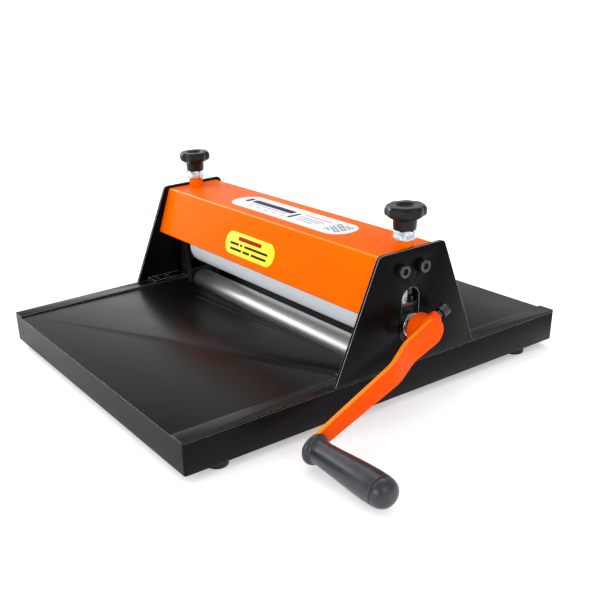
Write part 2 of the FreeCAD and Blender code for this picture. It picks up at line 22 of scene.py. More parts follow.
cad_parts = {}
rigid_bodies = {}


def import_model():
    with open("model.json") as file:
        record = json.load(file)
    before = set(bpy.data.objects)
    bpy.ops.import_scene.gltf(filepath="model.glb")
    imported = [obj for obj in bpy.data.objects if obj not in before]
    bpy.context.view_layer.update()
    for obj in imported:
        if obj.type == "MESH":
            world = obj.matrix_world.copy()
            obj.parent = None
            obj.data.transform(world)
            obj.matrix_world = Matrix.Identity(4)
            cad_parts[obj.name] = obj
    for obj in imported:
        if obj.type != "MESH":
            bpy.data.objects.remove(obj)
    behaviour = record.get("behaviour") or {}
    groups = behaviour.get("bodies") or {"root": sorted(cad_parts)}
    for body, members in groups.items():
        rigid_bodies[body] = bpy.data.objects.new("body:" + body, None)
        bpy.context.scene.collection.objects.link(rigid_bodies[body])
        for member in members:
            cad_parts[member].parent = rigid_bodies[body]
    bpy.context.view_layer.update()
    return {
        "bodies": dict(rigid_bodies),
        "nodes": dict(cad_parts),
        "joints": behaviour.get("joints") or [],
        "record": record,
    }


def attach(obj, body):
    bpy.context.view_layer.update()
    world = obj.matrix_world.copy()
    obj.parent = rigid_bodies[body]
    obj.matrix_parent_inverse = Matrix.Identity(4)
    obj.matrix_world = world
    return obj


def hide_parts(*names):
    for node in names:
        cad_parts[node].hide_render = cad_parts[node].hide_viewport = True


LOG = logging.getLogger("etching_press")
MM = 0.001
JOIN_MM = 0.002            # points nearer than this are one point on a made piece
NODE_JOIN_MM = 0.004       # the same on a copied node
ROUND_OVER_DEG = 32.0      # a node's edges that turn more than this are rounded
VINYL_MM = 0.3             # thickness of a label
PRINT_LOW, PRINT_TOP = 0.2, 0.34   # back and face of the print above the label's back
CAM_SENSOR_MM = 36.0


class Side(Enum):
    """Which end of the rollers a piece belongs to."""

    LEFT = -1
    RIGHT = 1

    @property
    def word(self) -> str:
        """Name used in the nodes, such as left."""
        return self.name.lower()


class Along(Enum):
    """Direction of a turned piece's axis, as a unit vector."""

    X = (1.0, 0.0, 0.0)
    Z = (0.0, 0.0, 1.0)


# ---- surfaces ----------------------------------------------------------------


@dataclass
class Shell:
    """Points in millimetres and the faces that join them."""

    points: np.ndarray
    faces: list[list[int]]

    def joined(self, *others: Shell) -> Shell:
        """Several shells as one, with the faces renumbered."""
        points, faces = [self.points], list(self.faces)
        base = len(self.points)
        for other in others:
            faces += [[i + base for i in face] for face in other.faces]
            points.append(other.points)
            base += len(other.points)
        return Shell(np.concatenate(points), faces)

    def mirrored(self) -> Shell:
        """The shell on the other side of the press."""
        return Shell(self.points * np.array([-1.0, 1.0, 1.0]), [f[::-1] for f in self.faces])


def end_faces(cols: int, strip: bool) -> list[list[int]]:
    """Faces that close a ring of points.

    In a strip, point j of the first half of the ring joins point cols - 1 - j.

    Args:
        cols: Points in the ring.
        strip: Close with a strip of four-sided faces, as on the end of a bent sheet,
            and not with one flat face.

    Returns:
        The faces, as indices into the ring.
    """
    if not strip:
        return [list(range(cols))]
    j = np.arange(cols // 2 - 1)
    return np.stack([j, j + 1, cols - 2 - j, cols - 1 - j], -1).tolist()


def loft(
    rows: np.ndarray, cap: bool = True, ring: bool = False, strip: bool = False
) -> Shell:
    """Skin over a grid of points whose columns close on themselves.

    Point (i, j) joins (i, j + 1), (i + 1, j + 1) and (i + 1, j), with j taken round.

    Args:
        rows: Array of shape (rows, columns, 3).
        cap: Close the first and last row with a flat face.
        ring: Join the last row to the first, as on a tube bent into a ring.
        strip: Close the first and last row as the ends of a bent sheet.

    Returns:
        The shell.
    """
    count, cols = rows.shape[:2]
    r, c = np.meshgrid(np.arange(count if ring else count - 1), np.arange(cols), indexing="ij")
    after, below = (c + 1) % cols, (r + 1) % count
    quads = np.stack([r * cols + c, r * cols + after, below * cols + after, below * cols + c], -1)
    faces = quads.reshape(-1, 4).tolist()
    if cap and not ring:
        last = (count - 1) * cols
        for face in end_faces(cols, strip):
            faces += [face[::-1], [i + last for i in face]]
    return Shell(rows.reshape(-1, 3), faces)


def rounded_path(
    corners: np.ndarray, radius: float | list[float], steps: int = 5, closed: bool = False
) -> np.ndarray:
    """Polyline whose corners are turned into arcs.

    At each corner the arc touches both sides at radius * tan(turn / 2) from it.

    Args:
        corners: Corner points, shape (n, 2).
        radius: One radius, or one for each corner.
        steps: Points on each arc, less one.
        closed: The last corner joins the first.

    Returns:
        Points, shape (m, 2).
    """
    pts = np.asarray(corners, float)
    radii = [radius] * len(pts) if isinstance(radius, (int, float)) else radius
    out: list[np.ndarray] = []
    for i, here in enumerate(pts):
        ends = not closed and i in (0, len(pts) - 1)
        if ends or radii[i] <= 0:
            out.append(here[None])
            continue
        back, on = pts[i - 1] - here, pts[(i + 1) % len(pts)] - here
        lb, lo = np.linalg.norm(back), np.linalg.norm(on)
        back, on = back / lb, on / lo
        half = math.acos(float(np.clip(back @ on, -1.0, 1.0))) / 2.0
        if abs(math.pi / 2 - half) < 1e-3:
            out.append(here[None])
            continue
        reach = min(radii[i] / math.tan(half), 0.49 * lb, 0.49 * lo)
        r = reach * math.tan(half)
        bisector = (back + on) / np.linalg.norm(back + on)
        centre = here + bisector * r / math.sin(half)
        a, b = here + back * reach - centre, here + on * reach - centre
        a0 = math.atan2(a[1], a[0])
        turn = (math.atan2(b[1], b[0]) - a0 + math.pi) % (2 * math.pi) - math.pi
        angles = a0 + turn * np.linspace(0.0, 1.0, steps + 1)
        out.append(centre + r * np.c_[np.cos(angles), np.sin(angles)])
    return np.concatenate(out)


def inset_outline(outline: np.ndarray, depth: float) -> np.ndarray:
    """Closed outline moved inwards along the mean normal of its two sides at each point."""
    ahead = np.roll(outline, -1, 0) - outline
    ahead /= np.maximum(np.linalg.norm(ahead, axis=1, keepdims=True), 1e-9)
    mean = ahead + np.roll(ahead, 1, 0)
    mean /= np.maximum(np.linalg.norm(mean, axis=1, keepdims=True), 1e-9)
    inward = np.c_[-mean[:, 1], mean[:, 0]]
    x, y = outline.T
    if np.sum(x * np.roll(y, -1) - np.roll(x, -1) * y) < 0:
        inward = -inward
    stretch = np.clip(np.einsum("ij,ij->i", mean, ahead), 0.5, 1.0)[:, None]
    return outline + inward * depth / stretch


def eased_stack(outline: np.ndarray, low: float, high: float, ease: float) -> list[tuple]:
    """Outlines and heights of a slab whose two rims are rounded by ease."""
    angles = np.linspace(0.0, math.pi / 2, 4)
    foot = [(inset_outline(outline, ease * (1 - math.sin(a))), low + ease * (1 - math.cos(a)))
            for a in angles]
    head = [(inset_outline(outline, ease * (1 - math.cos(a))), high - ease * (1 - math.sin(a)))
            for a in angles]
    return foot + head


def slab(
    outline: np.ndarray,
    low: float,
    high: float,
    ease: float,
    place: np.ndarray,
    strip: bool = False,
) -> Shell:
    """Flat piece on an outline, with rounded rims, in a plane given by place.

    Args:
        outline: Closed outline, shape (n, 2).
        low: Height of one face along the third direction of place.
        high: Height of the other face.
        ease: Rim radius.
        place: 4 x 3 array of the origin, the two outline directions and the thickness
            direction.
        strip: Close both faces as the ends of a bent sheet.

    Returns:
        The shell.
    """
    rows = [place[0] + o[:, :1] * place[1] + o[:, 1:] * place[2] + h * place[3]
            for o, h in eased_stack(outline, low, high, ease)]
    return loft(np.stack(rows), strip=strip)


def rounded_rectangle(width: float, height: float, radius: float, steps: int = 8) -> np.ndarray:
    """Closed outline of a rectangle with round corners, centred on the origin."""
    w, h = width / 2, height / 2
    return rounded_path(np.array([(w, -h), (w, h), (-w, h), (-w, -h)]), radius, steps, True)


def lathe(
    profile: np.ndarray,
    centre: tuple[float, float, float],
    axis: tuple[float, float, float],
    steps: int = 96,
    radius: np.ndarray | None = None,
    start: float = 0.0,
) -> Shell:
    """Piece turned about an axis, or with a radius that also changes round it.

    A point is centre + along * axis + radius * (cos t * e1 + sin t * e2).

    Args:
        profile: (distance along the axis, radius) points, shape (n, 2).
        centre: Point on the axis where the distance is nought.
        axis: Unit vector along the axis.
        steps: Points round the axis.
        radius: Radii that replace the profile's, shape (n, steps).
        start: Angle of the first column, in radians.

    Returns:
        The shell, with its ends left to close on the axis or with a flat face.
    """
    a = np.array(axis, float)
    e1 = np.array([0.0, 1.0, 0.0]) if abs(a[1]) < 0.9 else np.array([1.0, 0.0, 0.0])
    e1 = e1 - a * (a @ e1)
    e1 /= np.linalg.norm(e1)
    e2 = np.cross(a, e1)
    t = start + np.linspace(0.0, 2 * math.pi, steps, endpoint=False)
    r = np.repeat(profile[:, 1:2], steps, 1) if radius is None else radius
    ring = np.cos(t)[None, :, None] * e1 + np.sin(t)[None, :, None] * e2
    rows = np.array(centre) + profile[:, :1, None] * a + r[:, :, None] * ring
    return loft(rows, cap=bool(r[0].max() > 1e-6 or r[-1].max() > 1e-6))


def hex_radius(angles: np.ndarray, across_flats: float) -> np.ndarray:
    """Distance to a hexagon's side: half the width over cos of the angle to its middle."""
    folded = (angles + math.pi / 6) % (math.pi / 3) - math.pi / 6
    return across_flats / 2 / np.cos(folded)


def hex_nut(
    across: float, low: float, high: float, centre: tuple, axis: tuple, start: float = 0.0
) -> Shell:
    """Hexagon nut: the lesser of the hexagon's radius and a cone at each face."""
    steps = 96
    rim, spread = across / 2 - 0.4, 1.75   # the cone's radius at the face, and its growth
    t = start + np.linspace(0.0, 2 * math.pi, steps, endpoint=False)
    ramp = np.linspace(0, 0.14 * across, 7)
    h = np.r_[low, low + ramp, high - ramp[::-1], high]
    cone = rim + np.minimum(h - low, high - h) * spread
    radius = np.minimum(hex_radius(t, across)[None, :], cone[:, None])
    radius[[0, -1]] = 0.0
    return lathe(np.c_[h, h * 0], centre, axis, steps, radius, start)


# ---- finishes ----------------------------------------------------------------


def linear(code: str) -> tuple[float, float, float, float]:
    """sRGB hex colour as linear red, green, blue and alpha."""
    parts = [int(code[i:i + 2], 16) / 255.0 for i in (1, 3, 5)]
    red, green, blue = (c / 12.92 if c <= 0.04045 else ((c + 0.055) / 1.055) ** 2.4 for c in parts)
    return red, green, blue, 1.0


def add_node(
    tree: bpy.types.NodeTree, kind: str, values: dict | None = None, links: dict | None = None,
    **settings: object,
) -> bpy.types.Node:
    """One shader node with its settings, socket values and links.

    Args:
        tree: Node tree that gets the node.
        kind: Type name of the node.
        values: Input name or number to constant.
        links: Input name or number to the output socket that feeds it.
        settings: Properties of the node itself.

    Returns:
        The node.
    """
    node = tree.nodes.new(kind)
    for key, value in settings.items():
        setattr(node, key, value)
    for key, value in (values or {}).items():
        node.inputs[key].default_value = value
    for key, source in (links or {}).items():
        tree.links.new(source, node.inputs[key])
    return node


@dataclass(frozen=True)
class Finish:
    """A surface finish: colour, gloss and the fine relief its making leaves."""

    name: str
    colour: str
    second: str
    roughness: float
    metallic: float = 0.0
    specular: float = 0.5
    relief_mm: float = 1.0     # spacing of the relief
    relief: float = 0.1        # strength of the relief
    stretch: tuple = (1.0, 1.0, 1.0)
    cloud_mm: float = 60.0     # spacing of slow changes in tone and gloss
    rough_swing: float = 0.05
    subsurface: float = 0.0

    def material(self) -> bpy.types.Material:
        """The finish as a material, made once."""
        made = bpy.data.materials.get(self.name)
        if made is None:
            made = bpy.data.materials.new(self.name)
            made.use_nodes = True
            made.diffuse_color = linear(self.colour)
            made.node_tree.nodes.clear()
            self.dress(made.node_tree)
        return made

    def dress(self, tree: bpy.types.NodeTree) -> None:
        """Fill the node tree: tone and gloss drift slowly, relief is fine noise."""
        place = add_node(tree, "ShaderNodeTexCoord").outputs["Object"]
        drift = add_node(tree, "ShaderNodeTexNoise", {"Scale": 1 / (self.cloud_mm * MM),
                                                     "Detail": 4.0}, {"Vector": place})
        stretched = add_node(tree, "ShaderNodeMapping", {"Scale": self.stretch},
                             {"Vector": place})
        grain = add_node(tree, "ShaderNodeTexNoise",
                         {"Scale": 1 / (self.relief_mm * MM), "Detail": 3.0},
                         {"Vector": stretched.outputs[0]})
        tone = add_node(tree, "ShaderNodeMix", {6: linear(self.colour), 7: linear(self.second)},
                        {0: self.tone_factor(tree, drift, grain)}, data_type="RGBA")
        gloss = add_node(tree, "ShaderNodeMapRange",
                         {"From Min": 0.3, "From Max": 0.7,
                          "To Min": self.roughness - self.rough_swing,
                          "To Max": self.roughness + self.rough_swing},
                         {"Value": self.gloss_factor(drift, grain)})
        bump = add_node(tree, "ShaderNodeBump", {"Strength": self.relief,
                                                 "Distance": self.relief_mm * MM * 0.2},
                        {"Height": grain.outputs[0]})
        shader = add_node(tree, "ShaderNodeBsdfPrincipled",
                          {"Metallic": self.metallic, "Specular IOR Level": self.specular,
                           "Subsurface Weight": self.subsurface,
                           "Subsurface Radius": (0.004, 0.004, 0.005)},
                          {"Base Color": tone.outputs[2], "Roughness": gloss.outputs[0],
                           "Normal": bump.outputs[0]})
        add_node(tree, "ShaderNodeOutputMaterial", links={0: shader.outputs[0]})

    def tone_factor(self, tree: bpy.types.NodeTree, drift: bpy.types.Node,
                    grain: bpy.types.Node) -> bpy.types.NodeSocket:
        """How much of the second colour shows: the slow drift, spread to the full range."""
        return add_node(tree, "ShaderNodeMapRange", {"From Min": 0.35, "From Max": 0.65},
                        {"Value": drift.outputs[0]}).outputs[0]

    def gloss_factor(self, drift: bpy.types.Node, grain: bpy.types.Node) -> bpy.types.NodeSocket:
        """What moves the roughness."""
        return drift.outputs[0]


@dataclass(frozen=True)
class MarkedMetal(Finish):
    """Metal whose tone and gloss follow its machining marks."""

    def tone_factor(self, tree: bpy.types.NodeTree, drift: bpy.types.Node,
                    grain: bpy.types.Node) -> bpy.types.NodeSocket:
        """The marks themselves carry the second colour."""
        return add_node(tree, "ShaderNodeMapRange", {"From Min": 0.3, "From Max": 0.7},
                        {"Value": grain.outputs[0]}).outputs[0]

    def gloss_factor(self, drift: bpy.types.Node, grain: bpy.types.Node) -> bpy.types.NodeSocket:
        """Marks are rougher than the metal between them."""
        return grain.outputs[0]


# Polyester powder coat, sprayed and baked: a fine orange peel about 1.5 mm across that
# breaks up reflections, with broad soft changes in gloss.
BLACK_COAT = Finish("black_powder_coat", "#0b0a0a", "#0f0e0e", 0.31, specular=0.085,
                    relief_mm=1.4, relief=0.07, cloud_mm=90.0, rough_swing=0.05)
BLACK_PLATE = Finish("black_powder_coat_upright", "#070606", "#0b0a0a", 0.30, specular=0.05,
                     relief_mm=1.4, relief=0.08, cloud_mm=60.0)
# Painted highlight: the black coat's rounded edges get a pale grey, glossy colour that stands in
# for the light they catch.
COAT_EDGE_HIGHLIGHT = Finish("black_powder_coat_edge", "#b4b6ba", "#9a9ca0", 0.24, specular=0.9,
                   relief_mm=1.4, relief=0.05, cloud_mm=30.0)
ORANGE_COVER = Finish("orange_powder_coat", "#fb6900", "#f96500", 0.28, specular=0.025,
                      relief_mm=1.6, relief=0.06, cloud_mm=70.0)
# Painted highlight: where sheet is folded or a bar's corner is rounded the faces get a paler,
# glossier orange that stands in for the light caught there.
ORANGE_FOLD_HIGHLIGHT = Finish("orange_powder_coat_fold", "#ff8e2e", "#ff8422", 0.24, specular=0.15,
                     relief_mm=1.6, relief=0.04, cloud_mm=40.0)
# Painted highlight on the crank arm's narrow sides: a paler, glossier orange than the arm.
ORANGE_BEVEL_HIGHLIGHT = Finish("orange_powder_coat_bevel", "#ff8a1c", "#ff8012", 0.25, specular=0.15,
                      relief_mm=1.2, relief=0.06, cloud_mm=30.0)
ORANGE_CRANK = Finish("orange_powder_coat_crank", "#fa5400", "#f54e00", 0.30, specular=0.04,
                      relief_mm=1.2, relief=0.10, cloud_mm=30.0)
# Plain steel bar, painted by hand out of sight: dull and a little uneven.
INNER_PAINT = Finish("black_brush_paint", "#101011", "#171718", 0.5, specular=0.3,
                     relief_mm=2.0, relief=0.15, cloud_mm=25.0)
# Steel ground between centres: marks go round the axis, about 0.3 mm apart, drawn at
# 0.9 mm so that they show.
GROUND_STEEL = MarkedMetal("ground_steel", "#9c9a95", "#6b6965", 0.15, metallic=1.0,
                           relief_mm=0.9, relief=0.10, stretch=(1.0, 0.02, 0.02),
                           cloud_mm=40.0, rough_swing=0.05)
BRIGHT_STEEL = MarkedMetal("turned_bright_steel", "#cfcfcd", "#b4b4b2", 0.16, metallic=1.0,
                           relief_mm=0.5, relief=0.08, stretch=(1.0, 0.02, 0.02),
                           cloud_mm=20.0)
# Electroplated zinc, clear passivated: bright, slightly blue, faintly cloudy.
ZINC = Finish("zinc_plate", "#d3d9dd", "#8f959b", 0.20, metallic=1.0, relief_mm=0.6,
              relief=0.08, cloud_mm=5.0, rough_swing=0.08)
# Cast nylon turned to size: milky, cool white, light passes a little way in.
NYLON = Finish("cast_nylon", "#f3f9ff", "#e9f3fd", 0.33, relief_mm=0.6, relief=0.06,
               stretch=(1.0, 0.03, 0.03), cloud_mm=120.0, subsurface=0.25)
# Phenolic from a spark-eroded mould: dull black with a fine even grain.
KNOB_MOULDING = Finish("moulded_phenolic", "#0c0c0d", "#121213", 0.30, specular=0.24,
                       relief_mm=0.8, relief=0.16, cloud_mm=8.0)
GRIP_MOULDING = Finish("moulded_grip", "#1f2125", "#272a30", 0.32, specular=0.5,
                       relief_mm=0.9, relief=0.14, cloud_mm=12.0, rough_swing=0.06)
# Hardened screws blackened in hot salts: dark with a faint metal sheen.
BLACK_OXIDE = Finish("black_oxide_steel", "#3b3b3f", "#525256", 0.20, metallic=0.85,
                     relief_mm=0.5, relief=0.10, cloud_mm=4.0, rough_swing=0.08)
BRONZE = MarkedMetal("sintered_bronze", "#4a3b2a", "#33281c", 0.40, metallic=1.0,
                     relief_mm=0.6, relief=0.12, cloud_mm=10.0)
RUBBER = Finish("moulded_rubber", "#131313", "#1a1a19", 0.62, specular=0.35, relief_mm=0.9,
                relief=0.22, cloud_mm=15.0)
# Vinyl label, printed and laminated.
YELLOW_VINYL = Finish("yellow_vinyl", "#ffea00", "#ffe600", 0.3, relief_mm=3.0, relief=0.03)
WHITE_VINYL = Finish("white_vinyl", "#f2f2f1", "#ececeb", 0.3, relief_mm=3.0, relief=0.03)


def ink(name: str, colour: str, second: str, specular: float = 0.5) -> Finish:
    """Printing ink under a laminate: even, smooth and slightly dull."""
    return Finish(name, colour, second, 0.4, specular=specular, relief_mm=1.0, relief=0.03)


RED_INK = ink("red_print", "#a31204", "#951003", 0.1)
BLACK_INK = ink("black_print", "#0d0c08", "#15140f", 0.1)
BLUE_INK = ink("blue_print", "#070b30", "#0e1340", 0.1)
GREY_INK = ink("grey_print", "#6d779c", "#858dab")
SALMON_INK = ink("salmon_print", "#d2705a", "#d98572")


# ---- pieces ------------------------------------------------------------------


@dataclass
class Workshop:
    """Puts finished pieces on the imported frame."""

    frame: dict
    made: list[str] = field(default_factory=list)

    def piece(
        self, name: str, shell: Shell, finish: Finish, body: str, slot: str,
        replaces: tuple[str, ...] = (), sharp: float = 38.0, edge: Finish | None = None,
        is_edge: Callable[[np.ndarray], np.ndarray] | None = None,
    ) -> bpy.types.Object:
        """Make a shell into an object that rides on a body.

        Args:
            name: Name of the piece.
            shell: Its surface.
            finish: Its finish.
            body: Body it moves with.
            slot: Material slot of the record; not used.
            replaces: Nodes it stands for.
            sharp: Edges that turn more than this many degrees stay crisp.
            edge: Paler finish painted on its rounded edges as a highlight, where it differs.
            is_edge: Picks the faces that get the painted highlight from the faces' unit normals,
                shape (n, 3).

        Returns:
            The object.
        """
        mesh = bpy.data.meshes.new(name)
        mesh.from_pydata((shell.points * MM).tolist(), [], shell.faces)
        bm = bmesh.new()
        bm.from_mesh(mesh)
        bmesh.ops.remove_doubles(bm, verts=bm.verts, dist=JOIN_MM * MM)
        bmesh.ops.recalc_face_normals(bm, faces=bm.faces)
        bm.to_mesh(mesh)
        bm.free()
        mesh.shade_smooth()
        mesh.set_sharp_from_angle(angle=math.radians(sharp))
        mesh.materials.append(finish.material())
        if edge is not None and is_edge is not None:
            mesh.materials.append(edge.material())
            # Faces picked by is_edge take the second finish, a painted highlight.
            normals = np.empty(len(mesh.polygons) * 3)
            mesh.polygons.foreach_get("normal", normals)
            picked = is_edge(normals.reshape(-1, 3)).astype(np.int32)
            mesh.polygons.foreach_set("material_index", picked)
        piece = bpy.data.objects.new(name, mesh)
        bpy.context.scene.collection.objects.link(piece)
        return self.place(piece, body, slot, replaces)

    def place(
        self, piece: bpy.types.Object, body: str, slot: str, replaces: tuple[str, ...]
    ) -> bpy.types.Object:
        """Ride a piece on its body and note what it stands for."""
        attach(piece, body)
        if replaces:
            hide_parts(*replaces)
        self.made.append(piece.name)
        LOG.info("%s rides on %s, %d faces", piece.name, body, len(piece.data.polygons))
        return piece

    def eased(self, node: str, width: float, finish: Finish, body: str, slot: str,
              edge: Finish | None = None) -> bpy.types.Object:
        """Copy of a node with its edges rounded by a Bevel modifier, standing for the node.

        Args:
            node: Node that is copied.
            width: Width of the rounding.
            finish: Its finish.
            body: Body it moves with.
            slot: Material slot of the record; not used.
            edge: Paler finish painted on the rounded edges as a highlight, where it differs.

        Returns:
            The object.
        """
        mesh = self.frame["nodes"][node].data.copy()
        mesh.name = node + "_eased"
        bm = bmesh.new()
        bm.from_mesh(mesh)
        bmesh.ops.remove_doubles(bm, verts=bm.verts, dist=NODE_JOIN_MM * MM)
        bmesh.ops.dissolve_limit(bm, angle_limit=math.radians(0.6), verts=bm.verts,
                                 edges=bm.edges)
        bm.to_mesh(mesh)
        bm.free()
        mesh.shade_smooth()
        mesh.materials.clear()
        mesh.materials.append(finish.material())
        piece = bpy.data.objects.new(node + "_eased", mesh)
        bpy.context.scene.collection.objects.link(piece)
        bevel = piece.modifiers.new("rounded_edges", "BEVEL")
        bevel.width = width * MM
        bevel.segments = 2
        bevel.limit_method = "ANGLE"
        bevel.angle_limit = math.radians(ROUND_OVER_DEG)
        bevel.use_clamp_overlap = True
        bevel.harden_normals = True
        if edge is not None:
            mesh.materials.append(edge.material())
            # The bevel's faces take the painted highlight finish.
            bevel.material = 1
        return self.place(piece, body, slot, (node,))

    def dress_node(self, node: str, finish: Finish) -> None:
        """Give a node that stays as it is a better finish."""
        mesh = self.frame["nodes"][node].data
        if not mesh.materials:
            mesh.materials.append(None)
        for index in range(len(mesh.materials)):
            mesh.materials[index] = finish.material()
        LOG.info("%s keeps its shape, finish %s", node, finish.name)


@dataclass
class BedPan:
    """Folded bed with its edge rails, cross members and feet."""

    foot_x: float = 185.0
    foot_y: tuple[float, float] = (-218.0, 178.0)
    foot_r: float = 12.0
    foot_h: float = 9.0

    def build(self, shop: Workshop) -> None:
        """Make every piece of the bed."""
        # The pan and its rails get a painted highlight on their rounded edges.
        shop.eased("base_pan", 0.9, BLACK_COAT, "frame", "black_pan", COAT_EDGE_HIGHLIGHT)
        for side in Side:
            shop.eased(f"rail_{side.word}", 0.8, BLACK_COAT, "frame", "black_pan", COAT_EDGE_HIGHLIGHT)
        shop.dress_node("under_cross_members", INNER_PAINT)
        shop.dress_node("foot_screws", ZINC)
        shop.piece("feet_moulded", self.feet(), RUBBER, "frame", "rubber", ("feet",))

    def feet(self) -> Shell:
        """Four rubber feet, each a turned cup with a rounded rim and a screw well."""
        well, neck = 5.0, 2.5
        corners = np.array([(4.0, neck), (4.0, well), (0.0, well), (0.0, self.foot_r - 0.8),
                            (self.foot_h, self.foot_r - 1.6), (self.foot_h, neck)])
        profile = rounded_path(corners, [0, 0.4, 0.6, 1.6, 0.8, 0], 5, False)
        profile = np.concatenate([profile, profile[:1]])
        feet = [lathe(profile, (s.value * self.foot_x, y, 0.0), Along.Z.value, 48)
                for s in Side for y in self.foot_y]
        for foot in feet:
            # The profile closes on itself, so the flat end faces are not wanted.
            foot.faces = [f for f in foot.faces if len(f) == 4]
        return feet[0].joined(*feet[1:])


@dataclass
class SidePlates:
    """The two uprights with their screws, guides and lower bearings."""

    screw_y: float = 13.0
    screw_z: float = 141.0
    face_x: float = 200.0
    screw_d: float = 8.0
    screw_l: float = 20.0
    head_h: float = 5.5

    def build(self, shop: Workshop) -> None:
        """Make the plates and everything screwed to them."""
        for side in Side:
            w = side.word
            # Each plate gets a painted highlight on its rounded edges.
            shop.eased(f"side_plate_{w}", 0.7, BLACK_PLATE, "frame", "black_plate", COAT_EDGE_HIGHLIGHT)
            shop.eased(f"guide_bars_{w}", 0.5, INNER_PAINT, "frame", "black_inner")
            shop.eased(f"lower_bearing_{w}", 0.4, INNER_PAINT, "frame", "black_inner")
        shop.dress_node("flange_screws", BLACK_OXIDE)
        shop.dress_node("lower_bushings", BRONZE)
        screws = [socket_screw(self.screw_d, self.screw_l,
                               (s.value * self.face_x, k * self.screw_y, self.screw_z),
                               (s.value, 0.0, 0.0), self.head_h)
                  for s in Side for k in (-1, 1)]
        shop.piece("plate_cap_screws", screws[0].joined(*screws[1:]), BLACK_OXIDE, "frame",
                   "black_oxide", ("plate_screws",), sharp=30.0)


def socket_screw(
    size: float, length: float, face: tuple, axis: tuple, head_h: float = 8.0
) -> Shell:
    """Socket cap screw: knurled head, hexagon socket and a plain shank.

    The head's side is cut with fine ribs, radius = head + rib * triangle(36 * angle), and the
    socket's wall follows a hexagon's radius.

    Args:
        size: Thread diameter.
        length: Shank below the head.
        face: Point under the head on the axis.
        axis: Unit vector out of the head.
        head_h: Height of the head.

    Returns:
        The shell.
    """
    steps, ribs, rib_depth = 144, 36, 0.12
    head_r, socket_across = 0.8125 * size, 0.75 * size
    t = np.linspace(0.0, 2 * math.pi, steps, endpoint=False)
    rib = rib_depth * (np.abs((t * ribs / (2 * math.pi)) % 1.0 - 0.5) * 2 - 1)
    hexagon = hex_radius(t, socket_across)
    rows: list[tuple[float, np.ndarray]] = [
        (-length, t * 0), (-length, t * 0 + size / 2 - 0.6), (-length + 0.6, t * 0 + size / 2),
        (0.0, t * 0 + size / 2), (0.0, t * 0 + head_r - 0.4), (0.4, head_r + rib),
        (head_h - 1.4, head_r + rib), (head_h - 0.9, t * 0 + head_r - 0.12),
        (head_h - 0.35, t * 0 + head_r - 0.35), (head_h - 0.08, t * 0 + head_r - 0.75),
        (head_h, t * 0 + head_r - 1.2), (head_h, hexagon + 0.35), (head_h - 0.25, hexagon),
        (head_h * 0.5, hexagon), (head_h * 0.42, t * 0)]
    along = np.array([h for h, _ in rows])
    radius = np.stack([r for _, r in rows])
    return lathe(np.c_[along, along * 0], face, axis, steps, radius)


@dataclass
class RollerStand:
    """Beam, end blocks and sliding blocks behind the cover."""

    def build(self, shop: Workshop) -> None:
        """Give the inner pieces their finishes."""
        shop.eased("head_beam", 0.6, INNER_PAINT, "frame", "black_inner")
        shop.dress_node("beam_end_blocks", INNER_PAINT)
        for side in Side:
            shop.eased(f"slide_block_{side.word}", 0.5, INNER_PAINT, "carriage", "black_inner")
        shop.dress_node("upper_bushings", BRONZE)
        shop.dress_node("retainer_plates", ZINC)
        shop.dress_node("retainer_screws", BLACK_OXIDE)


